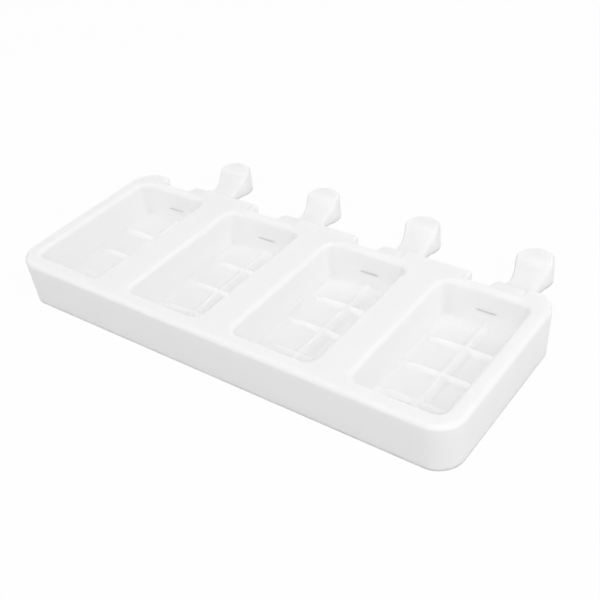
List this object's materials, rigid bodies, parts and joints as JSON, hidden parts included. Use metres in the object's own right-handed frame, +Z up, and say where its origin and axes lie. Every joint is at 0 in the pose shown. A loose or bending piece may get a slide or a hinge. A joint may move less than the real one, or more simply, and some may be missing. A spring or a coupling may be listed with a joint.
{
  "type": "ice pop mould",
  "caption": "Low rectangular silicone mould with bar-shaped cavities with a tablet relief in a row, a slit for a stick behind each and a scooped tongue that carries the stick's end.",
  "frame": {"origin": "on the standing plane, under the middle of the whole outline with its tongues", "axes": "+X along the row of cavities, +Y from the plain front towards the tongues, +Z up out of the cavities"},
  "size_m": [0.2698, 0.1595, 0.027],
  "materials": {
    "silicone": "white moulded silicone, satin"
  },
  "bodies": {
    "root": {"mould_body": "silicone"}
  },
  "joints": []
}
